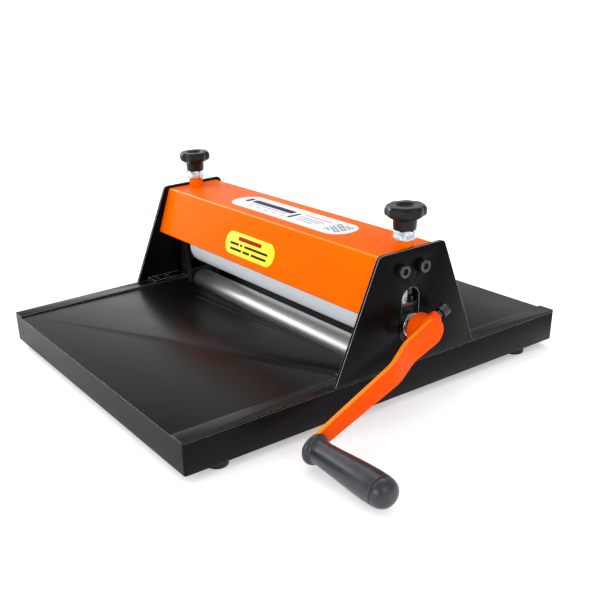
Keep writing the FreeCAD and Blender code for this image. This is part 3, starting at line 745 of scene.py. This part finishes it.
@dataclass
class Cover:
    """Folded hood over the upper roller, with its bosses and labels."""

    half_x: float = 196.7
    top_z: float = 157.5
    low_z: float = 103.0
    top_half: float = 35.5
    low_half: float = 55.0
    lip: float = 7.0
    sheet: float = 2.0
    fold_r: float = 2.5
    boss_x: float = 188.3
    boss_r: float = 8.6
    boss_h: float = 9.0
    end_r: float = 0.4
    inner_r: float = 0.7

    def build(self, shop: Workshop) -> None:
        """Make the hood, its bosses and the two labels."""
        # The hood's top folds take a painted highlight.
        shop.piece("cover_folded", self.hood(), ORANGE_COVER, "frame", "orange_cover",
                   ("cover",), sharp=40.0, edge=ORANGE_FOLD_HIGHLIGHT, is_edge=self.on_fold)
        shop.piece("cover_boss_pair", self.bosses(), ORANGE_COVER, "frame", "orange_cover",
                   ("cover_bosses",))
        self.front_label(shop)
        self.top_label(shop)

    def section(self) -> np.ndarray:
        """Closed section of the bent sheet in the YZ plane, outside then inside."""
        slope = math.atan2(self.low_half - self.top_half, self.top_z - self.low_z)
        t, lo, wide, turn = self.sheet, self.low_z, 1 / math.cos(slope), math.tan(slope)
        top_in, low_in = self.top_half - t * (wide - turn), self.low_half - t * (wide + turn)
        end = self.low_half - self.lip
        corners = np.array([
            (-end, lo), (-self.low_half, lo), (-self.top_half, self.top_z),
            (self.top_half, self.top_z), (self.low_half, lo), (end, lo), (end, lo + t),
            (low_in, lo + t), (top_in, self.top_z - t), (-top_in, self.top_z - t),
            (-low_in, lo + t), (-end, lo + t)])
        half = [self.end_r] + [self.fold_r] * 4 + [self.end_r]
        radii = half + [self.end_r] + [self.inner_r] * 4 + [self.end_r]
        return rounded_path(corners, radii, 6, True)

    def hood(self) -> Shell:
        """The section carried along X, with the rims of its two open ends rounded."""
        place = np.array([(0, 0, 0), (0, 1, 0), (0, 0, 1), (1, 0, 0)], float)
        return slab(self.section(), -self.half_x, self.half_x, self.end_r, place, strip=True)

    @staticmethod
    def on_fold(normals: np.ndarray) -> np.ndarray:
        """Faces of the top folds, which get a painted highlight: they face neither straight up nor
        down the slopes.
        """
        return (normals[:, 2] > 0.50) & (normals[:, 2] < 0.985) & (np.abs(normals[:, 0]) < 0.1)

    def bosses(self) -> Shell:
        """Two round bosses with a rounded rim."""
        corners = np.array([(0.0, 0.0), (0.0, self.boss_r), (self.boss_h, self.boss_r),
                            (self.boss_h, 0.0)])
        profile = rounded_path(corners, [0, 0, 1.0, 0], 6)
        one = lathe(profile, (self.boss_x, 0.0, self.top_z), Along.Z.value, 72)
        return one.joined(one.mirrored())

    def front_plane(self, across: float, down: float) -> np.ndarray:
        """Origin, width, height and outward directions of the sloping front face.

        Args:
            across: X of the origin.
            down: Fraction of the way down the slope.

        Returns:
            4 x 3 array.
        """
        run = np.array([0.0, -(self.low_half - self.top_half), self.low_z - self.top_z])
        start = np.array([across, -self.top_half, self.top_z])
        up = -run / np.linalg.norm(run)
        out = np.cross(np.array([1.0, 0, 0]), up)
        return np.stack([start + run * down, np.array([1.0, 0, 0]), up, out])

    def front_label(self, shop: Workshop) -> None:
        """Yellow label with a heading bar and two rows of plain blocks."""
        plane = self.front_plane(-2.0, 0.613)
        shop.piece("front_label_vinyl", sticker(93.0, 25.5, 12.0, plane), YELLOW_VINYL, "frame",
                   "label_yellow", ("label_front",))
        shop.piece("front_label_heading", blocks([(-1.0, 6.6, 44.0, 4.4)], plane),
                   RED_INK, "frame", "label_yellow")
        rows = [(-28.5, -0.4, 17.0, 2.6), (-15.5, -0.4, 4.0, 2.6), (13.0, -0.4, 44.0, 2.6),
                (-24.0, -6.6, 22.0, 2.6), (-3.6, -6.6, 13.0, 2.6), (20.0, -6.6, 28.0, 2.6)]
        shop.piece("front_label_lines", blocks(rows, plane), BLACK_INK, "frame",
                   "label_yellow")

    def top_label(self, shop: Workshop) -> None:
        """White label with plain bars, a row of squares and a plain panel."""
        plane = np.array([(14.0, -1.0, self.top_z), (1, 0, 0), (0, 1, 0), (0, 0, 1)], float)
        shop.piece("top_label_vinyl", sticker(201.0, 41.0, 19.0, plane, 14), WHITE_VINYL,
                   "frame", "label_white", ("label_top",))
        bars = [(-38.0, 5.0, 76.0, 9.0), (-84.0, 4.0, 7.0, 12.0), (8.0, -2.0, 5.0, 18.0)]
        lines = [(-38.0, -3.6, 70.0, 1.6), (36.0, 1.0, 40.0, 1.6), (36.0, -4.0, 36.0, 1.6),
                 (34.0, -9.0, 28.0, 1.6)]
        squares = [(-62.0 + 15.0 * k, -11.0, 6.0, 2.4) for k in range(5)]
        squares.append((38.0, 8.5, 44.0, 2.0))
        cell, fill = 2.6, 0.82
        panel = [(70.0 + cell * i, -10.0 + cell * j, cell * fill, cell * fill)
                 for i in range(9) for j in range(9) if (i * 5 + j * 3) % 7 < 4]
        for name, places, print_ink in (("bars", bars, BLUE_INK), ("lines", lines, GREY_INK),
                                        ("squares", squares, SALMON_INK),
                                        ("panel", panel, BLUE_INK)):
            shop.piece(f"top_label_{name}", blocks(places, plane), print_ink, "frame",
                       "label_white")


def sticker(
    width: float, height: float, radius: float, plane: np.ndarray, steps: int = 12
) -> Shell:
    """Blank label with round corners, lying on a plane."""
    outline = rounded_rectangle(width, height, radius, steps)
    return slab(outline, 0.0, VINYL_MM, 0.08, plane)


def blocks(places: list[tuple[float, float, float, float]], plane: np.ndarray) -> Shell:
    """Printed blocks, each a thin slab with round corners.

    Args:
        places: (across, up, width, height) of each block on the label.
        plane: Origin and three directions of the label.

    Returns:
        The shell.
    """
    made = []
    for across, up, wide, tall in places:
        outline = rounded_rectangle(wide, tall, 0.3 * min(wide, tall), 3) + (across, up)
        made.append(slab(outline, PRINT_LOW, PRINT_TOP, 0.02, plane))
    return made[0].joined(*made[1:])


@dataclass
class HandScrew:
    """Lobed knob, lock nut and threaded screw at one end of the cover."""

    side: Side
    x: float = 188.3
    nut_z: float = 166.7
    nut_h: float = 10.0
    neck_h: float = 11.0
    head_r: float = 19.6
    head_h: float = 12.0
    lobes: int = 8
    lobe_depth: float = 1.8
    screw_r: float = 6.0
    pitch: float = 1.75
    screw_low: float = 106.0
    nut_across: float = 19.0
    nut_turn: float = 12.0     # degrees
    hollow_deg: float = 11.0
    core_r: float = 13.0
    ridge_h: float = 0.26

    def build(self, shop: Workshop) -> None:
        """Make the knob, the nut and the screw."""
        w, body = self.side.word, f"knob_{self.side.word}"
        shop.piece(f"hand_knob_{w}", self.knob(), KNOB_MOULDING, body, "knob_black",
                   (f"knob_{w}",), sharp=50.0)
        nut = hex_nut(self.nut_across, 0.0, self.nut_h, (self.axis_x, 0.0, self.nut_z),
                      Along.Z.value, math.radians(self.nut_turn))
        shop.piece(f"hex_nut_{w}", nut, ZINC, body, "zinc", (f"lock_nut_{w}",), sharp=20.0)
        shop.dress_node(f"pressure_screw_{w}", ZINC)
        shop.piece(f"screw_thread_{w}", self.thread(), ZINC, body, "zinc", sharp=60.0)

    @property
    def axis_x(self) -> float:
        """X of the screw's axis."""
        return self.side.value * self.x

    def knob(self) -> Shell:
        """Profile turned about Z, with its rim pulled in between the lobes.

        Radius = profile - depth * weight * exp(-(angle to the hollow / width)^2), where the
        weight grows from the core to the rim.
        """
        base = self.nut_z + self.nut_h
        n, h, r = self.neck_h, self.head_h, self.head_r
        corners = np.array([(0.0, 0.0), (0.0, 10.8), (n - 1.0, 11.5), (n + 0.6, 15.6),
                            (n + 3.4, r), (n + 8.8, r), (n + h, r - 2.2), (n + h, 9.6),
                            (n + h - 3.0, 7.0), (n + h - 3.4, 0.0)])
        profile = rounded_path(corners, [0, 0.5, 2.0, 2.0, 2.2, 2.2, 1.4, 1.2, 2.0, 0], 6)
        steps = 192
        t = np.linspace(0.0, 2 * math.pi, steps, endpoint=False)
        step = 2 * math.pi / self.lobes
        off = (t % step) - step / 2
        hollow = np.exp(-(off / math.radians(self.hollow_deg)) ** 2)
        weight = np.clip((profile[:, 1] - self.core_r) / (r - self.core_r), 0.0, 1.0) ** 1.5
        radius = profile[:, 1:2] - self.lobe_depth * weight[:, None] * hollow[None, :]
        return lathe(profile, (self.axis_x, 0.0, base), Along.Z.value, steps, radius)

    def thread(self) -> Shell:
        """Thread of the screw: radius falls by a triangle wave of height and angle."""
        steps, low, high = 48, self.screw_low, self.nut_z - 0.3
        rows = int((high - low) / self.pitch * 8)
        z = np.linspace(low, high, rows)
        t = np.linspace(0.0, 2 * math.pi, steps, endpoint=False)
        phase = (z[:, None] / self.pitch - t[None, :] / (2 * math.pi)) % 1.0
        ridge = self.ridge_h * (1.0 - np.abs(phase - 0.5) * 2)
        fade = np.minimum(1.0, np.minimum(z - low, high - z) / 0.8)[:, None]
        radius = self.screw_r + 0.02 + ridge * fade
        return lathe(np.c_[z - low, z * 0 + self.screw_r], (self.axis_x, 0.0, low),
                     Along.Z.value, steps, radius)


@dataclass
class Rollers:
    """Nylon upper roller on its shaft, and the ground steel lower roller."""

    upper_r: float = 25.0
    upper_z: float = 84.3
    upper_half: float = 171.5
    lower_r: float = 17.0
    lower_z: float = 26.5
    lower_half: float = 188.0
    shaft_r: float = 10.0
    shaft_left: float = -204.5
    shoulder_x: float = 200.8
    shaft_end_r: float = 8.0
    shaft_right: float = 225.5
    groove_x: float = -202.8
    collar_l: float = 9.9
    collar_r: float = 12.2

    def build(self, shop: Workshop) -> None:
        """Make the rollers, the shaft and its collar."""
        shop.piece("nylon_roller", self.bar(self.upper_half, self.upper_r, 1.0, self.upper_z),
                   NYLON, "upper_roller", "nylon", ("upper_roller_sleeve",), sharp=50.0)
        shop.piece("steel_roller", self.bar(self.lower_half, self.lower_r, 0.8, self.lower_z),
                   GROUND_STEEL, "lower_roller", "ground_steel", ("lower_roller",), sharp=50.0)
        shop.dress_node("lower_roller_journals", BRIGHT_STEEL)
        shop.piece("roller_shaft", self.shaft(), BRIGHT_STEEL, "upper_roller", "bright_steel",
                   ("upper_shaft",))
        shop.piece("grooved_collar", self.collar(), BRIGHT_STEEL, "upper_roller",
                   "bright_steel", ("shaft_collar",))
        shop.dress_node("shaft_retaining_ring", BLACK_OXIDE)

    @staticmethod
    def bar(half: float, radius: float, chamfer: float, z: float) -> Shell:
        """Round bar along X with a small eased chamfer at each end."""
        corners = np.array([(-half, 0.0), (-half, radius - chamfer), (-half + chamfer, radius),
                            (half - chamfer, radius), (half, radius - chamfer), (half, 0.0)])
        profile = rounded_path(corners, [0, 0.3, 0.3, 0.3, 0.3, 0], 3)
        return lathe(profile, (0.0, 0.0, z), Along.X.value, 160)

    def shaft(self) -> Shell:
        """Shaft with a ring groove on the left and a turned-down end on the right."""
        g, r, depth, wide = self.groove_x, self.shaft_r, 0.8, 1.2
        corners = np.array([
            (self.shaft_left, 0.0), (self.shaft_left, r), (g, r), (g, r - depth),
            (g + wide, r - depth), (g + wide, r), (self.shoulder_x, r),
            (self.shoulder_x, self.shaft_end_r), (self.shaft_right, self.shaft_end_r),
            (self.shaft_right, 0.0)])
        profile = rounded_path(corners, [0, 0.6, 0, 0, 0, 0, 0.3, 0, 0.5, 0], 3)
        return lathe(profile, (0.0, 0.0, self.upper_z), Along.X.value, 96)

    def collar(self) -> Shell:
        """Collar with two rounded lands and a dark groove between them."""
        x0, x1, r = self.shoulder_x, self.shoulder_x + self.collar_l, self.collar_r
        bore, floor = self.shaft_end_r, self.collar_r - 1.2
        corners = np.array([(x0, bore), (x0, r), (x0 + 3.8, r), (x0 + 4.2, floor),
                            (x0 + 5.7, floor), (x0 + 6.1, r), (x1, r), (x1, bore)])
        profile = rounded_path(corners, [0, 0.6, 0.6, 0.2, 0.2, 0.6, 0.6, 0], 4)
        return lathe(profile, (0.0, 0.0, self.upper_z), Along.X.value, 96)


@dataclass
class Crank:
    """Orange crank: hub, joggled arm, weld nut, clamp bolt and turning grip."""

    angle: float = 203.6
    reach: float = 165.0
    axis_z: float = 84.3
    hub_x0: float = 210.7
    arm_x0: float = 226.5
    arm_t: float = 5.0
    joggle: float = 9.0
    bend0: float = 31.0
    bend1: float = 58.0
    half: float = 13.6
    tip_half: float = 7.7
    hub_r: float = 15.2
    bolt_head: float = 26.0
    edge_r: float = 0.8
    seam: float = 87.0
    shaft_r: float = 8.0
    spindle_r: float = 5.2
    bolt_d: float = 8.0
    nut_across: float = 11.5
    bend_blur: float = 6.0

    def build(self, shop: Workshop) -> None:
        """Make the crank and its grip."""
        # The arm's narrow sides take a painted highlight.
        shop.piece("crank_bar", self.arm(), ORANGE_CRANK, "upper_roller", "orange_crank",
                   ("crank_arm",), sharp=55.0, edge=ORANGE_BEVEL_HIGHLIGHT, is_edge=self.on_rim)
        shop.piece("crank_hub_welded", self.hub(), ORANGE_CRANK, "upper_roller",
                   "orange_crank", ("crank_hub",))
        shop.piece("crank_weld_nut", self.weld_nut(), ORANGE_CRANK, "upper_roller",
                   "orange_crank", ("crank_boss",), sharp=25.0)
        under_head = self.on_arm(np.array([[self.bolt_x, -self.bolt_head, 0.0]]))[0]
        bolt = socket_screw(self.bolt_d, self.bolt_head - self.shaft_r - 0.4,
                            tuple(under_head), self.away)
        shop.piece("crank_cap_screw", bolt, BLACK_OXIDE, "upper_roller", "black_oxide",
                   ("crank_clamp_bolt",), sharp=30.0)
        shop.dress_node("grip_spindle", ZINC)
        shop.piece("grip_moulded", self.grip(), GRIP_MOULDING, "grip", "grip_black", ("grip",),
                   sharp=50.0)
        shop.piece("grip_cap_moulded", self.cap(), GRIP_MOULDING, "grip", "grip_black",
                   ("grip_end_cap",), sharp=50.0)

    @property
    def bolt_x(self) -> float:
        """X of the clamp bolt's axis."""
        return self.hub_x0 + 5.6

    @property
    def away(self) -> tuple[float, float, float]:
        """Unit vector from the hub away from the arm."""
        a = math.radians(self.angle)
        return 0.0, -math.cos(a), -math.sin(a)

    def on_arm(self, local: np.ndarray) -> np.ndarray:
        """Turn (x, along the arm, across the arm) into the press's frame."""
        a = math.radians(self.angle)
        x, s, w = local[..., 0], local[..., 1], local[..., 2]
        return np.stack([x, s * math.cos(a) - w * math.sin(a),
                         self.axis_z + s * math.sin(a) + w * math.cos(a)], -1)

    def centre_line(self, s: np.ndarray) -> np.ndarray:
        """Offset of the arm along X: a ramp between the two bends, averaged over a short span."""
        wide = np.linspace(-self.bend_blur, self.bend_blur, 25)
        ramp = np.clip((s[:, None] + wide[None, :] - self.bend0) / (self.bend1 - self.bend0),
                       0.0, 1.0)
        return self.joggle * ramp.mean(1)

    def arm(self) -> Shell:
        """Rounded rectangle carried along the joggled line.

        Half width is a taper between the two ends, and sqrt(r^2 - d^2) past each end's
        centre, so both ends are round.
        """
        ends = np.sin(np.linspace(0.0, math.pi / 2, 22))
        s = np.concatenate([-self.half * ends[::-1], np.linspace(1.0, self.reach - 1.0, 120),
                            self.reach + self.tip_half * ends])
        w = np.interp(s, [0.0, self.reach], [self.half, self.tip_half])
        before, after = np.clip(-s, 0, None), np.clip(s - self.reach, 0, None)
        w = np.where(s < 0, np.sqrt(np.maximum(self.half ** 2 - before ** 2, 0.0)), w)
        w = np.where(s > self.reach, np.sqrt(np.maximum(self.tip_half ** 2 - after ** 2, 0.0)), w)
        w = np.maximum(w, self.edge_r)
        lift = self.centre_line(s)
        tilt = np.arctan(np.gradient(lift, s))
        unit = rounded_rectangle(2.0, self.arm_t, self.edge_r, 5)
        side, thick = np.sign(unit[:, 0]), unit[:, 1]
        inset = 1.0 - np.abs(unit[:, 0])
        across = side[None, :] * (w[:, None] - inset[None, :])
        mid = self.arm_x0 + self.arm_t / 2 + lift[:, None]
        x = mid + thick[None, :] * np.cos(tilt)[:, None]
        along = s[:, None] - thick[None, :] * np.sin(tilt)[:, None]
        return loft(self.on_arm(np.stack([x, along, across], -1)))

    @staticmethod
    def on_rim(normals: np.ndarray) -> np.ndarray:
        """Faces of the arm's narrow sides, which face away from the turning axis and get a painted
        highlight.
        """
        return np.abs(normals[:, 0]) < 0.55

    def hub(self) -> Shell:
        """Hub with a rounded free end and a weld fillet where it meets the arm."""
        x0, x1, r = self.hub_x0, self.arm_x0, self.hub_r
        bore, face = self.shaft_r, x1 + 0.3
        corners = np.array([(x0, bore), (x0, r), (x1 - 1.6, r), (face, r + 1.7), (face, bore)])
        profile = rounded_path(corners, [0, 0.9, 1.4, 0.3, 0], 5)
        return lathe(profile, (0.0, 0.0, self.axis_z), Along.X.value, 96)

    def weld_nut(self) -> Shell:
        """Hexagon nut welded to the hub, opposite the arm."""
        foot = self.on_arm(np.array([[self.bolt_x, 0.0, 0.0]]))[0]
        return hex_nut(self.nut_across, self.hub_r - 1.2, self.hub_r + 6.0, tuple(foot),
                       self.away)

    def grip_start(self) -> tuple[float, float, float]:
        """Point on the grip's axis at its inner end."""
        x = self.arm_x0 + self.arm_t + self.joggle + 0.3
        return tuple(self.on_arm(np.array([[x, self.reach, 0.0]]))[0])

    def grip(self) -> Shell:
        """Guard, waist and swelling handle, one smooth profile turned about X."""
        bore, seam = self.spindle_r, self.seam
        corners = np.array([(0.0, bore), (0.0, 12.4), (1.4, 14.6), (3.4, 15.0), (5.4, 14.4),
                            (7.2, 12.4), (8.4, 11.55), (13.0, 11.4), (27.0, 12.0),
                            (44.0, 13.1), (62.0, 14.2), (76.0, 14.6), (seam - 1.0, 14.35),
                            (seam - 0.2, 13.8), (seam, 13.2), (seam, bore)])
        profile = rounded_path(corners, [0, 1.0, 1.6, 2.5, 2.5, 0.5, 0.8, 20.0, 60.0, 90.0,
                                         90.0, 60.0, 0.6, 0.3, 0.2, 0], 5)
        return lathe(profile, self.grip_start(), Along.X.value, 128)

    def cap(self) -> Shell:
        """Domed end: an ellipse quarter from the seam to a small moulding dot."""
        angle = np.linspace(0.0, 1.0, 22) ** 0.9 * math.pi / 2
        along = self.seam + 1.0 + 11.0 * np.sin(angle)
        radius = 14.0 * np.cos(angle) ** 0.8
        radius[-1] = 0.0
        along = np.where(radius < 1.0, along - 0.25, along)
        start = self.seam + 0.3
        seam = np.array([(start, 0.0), (start, self.spindle_r), (start, 13.4),
                         (start + 0.3, 13.9)])
        profile = np.concatenate([seam, np.c_[along, radius]])
        return lathe(profile, self.grip_start(), Along.X.value, 128)


# ---- stage -------------------------------------------------------------------


@dataclass
class Studio:
    """Pale floor, soft lights and the camera."""

    lens: float = 50.87
    shift: tuple[float, float] = (0.15, 0.1083)
    place: tuple[float, float, float] = (0.7518, -0.5583, 0.4018)
    yaw: float = 59.10
    pitch: float = 24.64
    roll: float = -3.43

    def build(self) -> None:
        """Set up everything that is not the press."""
        self.camera()
        self.floor()
        self.sky()
        self.softbox("top_softbox", (-0.5, 0.6, 1.9), (1.6, 1.6), 9.0)
        self.softbox("front_softbox", (0.4, -1.8, 0.6), (1.4, 0.8), 11.0)
        self.softbox("side_softbox", (1.9, -0.3, 0.9), (0.9, 0.9), 5.0)
        self.softbox("left_softbox", (-2.3, -0.1, 1.0), (2.4, 1.9), 22.0)
        self.softbox("left_strip", (-1.25, -0.67, 0.78), (1.1, 0.09), 6.0)
        bpy.context.scene.view_settings.view_transform = "Standard"

    def camera(self) -> None:
        """Camera from its place, its three turns and its lens."""
        a, p, r = (math.radians(v) for v in (self.yaw, self.pitch, self.roll))
        ahead = np.array([-math.sin(a) * math.cos(p), math.cos(a) * math.cos(p), -math.sin(p)])
        right = np.array([math.cos(a), math.sin(a), 0.0])
        up = np.cross(right, ahead)
        right, up = (math.cos(r) * right + math.sin(r) * up,
                     -math.sin(r) * right + math.cos(r) * up)
        data = bpy.data.cameras.new("camera")
        data.lens, data.sensor_width = self.lens, CAM_SENSOR_MM
        data.shift_x, data.shift_y = self.shift
        camera = bpy.data.objects.new("camera", data)
        turn = np.eye(4)
        turn[:3, 0], turn[:3, 1], turn[:3, 2], turn[:3, 3] = right, up, -ahead, self.place
        camera.matrix_world = Matrix(turn.tolist())
        bpy.context.scene.collection.objects.link(camera)
        bpy.context.scene.camera = camera

    @staticmethod
    def floor() -> None:
        """Large pale floor under the feet."""
        size = 90.0
        mesh = bpy.data.meshes.new("floor")
        mesh.from_pydata([(-size, -size, 0), (size, -size, 0), (size, size, 0),
                          (-size, size, 0)], [], [(0, 1, 2, 3)])
        paper = bpy.data.materials.new("floor_paper")
        paper.use_nodes = True
        shader = paper.node_tree.nodes["Principled BSDF"]
        shader.inputs["Base Color"].default_value = linear("#f7f7f7")
        shader.inputs["Roughness"].default_value = 0.9
        shader.inputs["Specular IOR Level"].default_value = 0.0
        shader.inputs["Emission Color"].default_value = linear("#ffffff")
        shader.inputs["Emission Strength"].default_value = 0.35
        mesh.materials.append(paper)
        floor = bpy.data.objects.new("floor", mesh)
        bpy.context.scene.collection.objects.link(floor)

    @staticmethod
    def sky() -> None:
        """Even white surroundings."""
        world = bpy.data.worlds.new("surroundings")
        world.use_nodes = True
        back = world.node_tree.nodes["Background"]
        back.inputs["Color"].default_value = linear("#fafbff")
        back.inputs["Strength"].default_value = 0.80
        bpy.context.scene.world = world

    @staticmethod
    def softbox(name: str, place: tuple[float, float, float], size: tuple[float, float],
                power: float) -> None:
        """Rectangular area light aimed at the press, its width level."""
        data = bpy.data.lights.new(name, "AREA")
        data.shape, data.energy = "RECTANGLE", power
        data.size, data.size_y = size
        lamp = bpy.data.objects.new(name, data)
        lamp.location = place
        lamp.rotation_mode = "QUATERNION"
        lamp.rotation_quaternion = (-Vector(place)).to_track_quat("-Z", "Y")
        bpy.context.scene.collection.objects.link(lamp)


def main() -> None:
    """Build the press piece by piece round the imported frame."""
    logging.basicConfig(level=logging.INFO, format="%(name)s: %(message)s")
    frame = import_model()
    shop = Workshop(frame)
    Studio().build()
    BedPan().build(shop)
    SidePlates().build(shop)
    RollerStand().build(shop)
    Cover().build(shop)
    for side in Side:
        HandScrew(side).build(shop)
    Rollers().build(shop)
    Crank().build(shop)
    LOG.info("%d pieces made", len(shop.made))


if __name__ == "__main__":
    main()
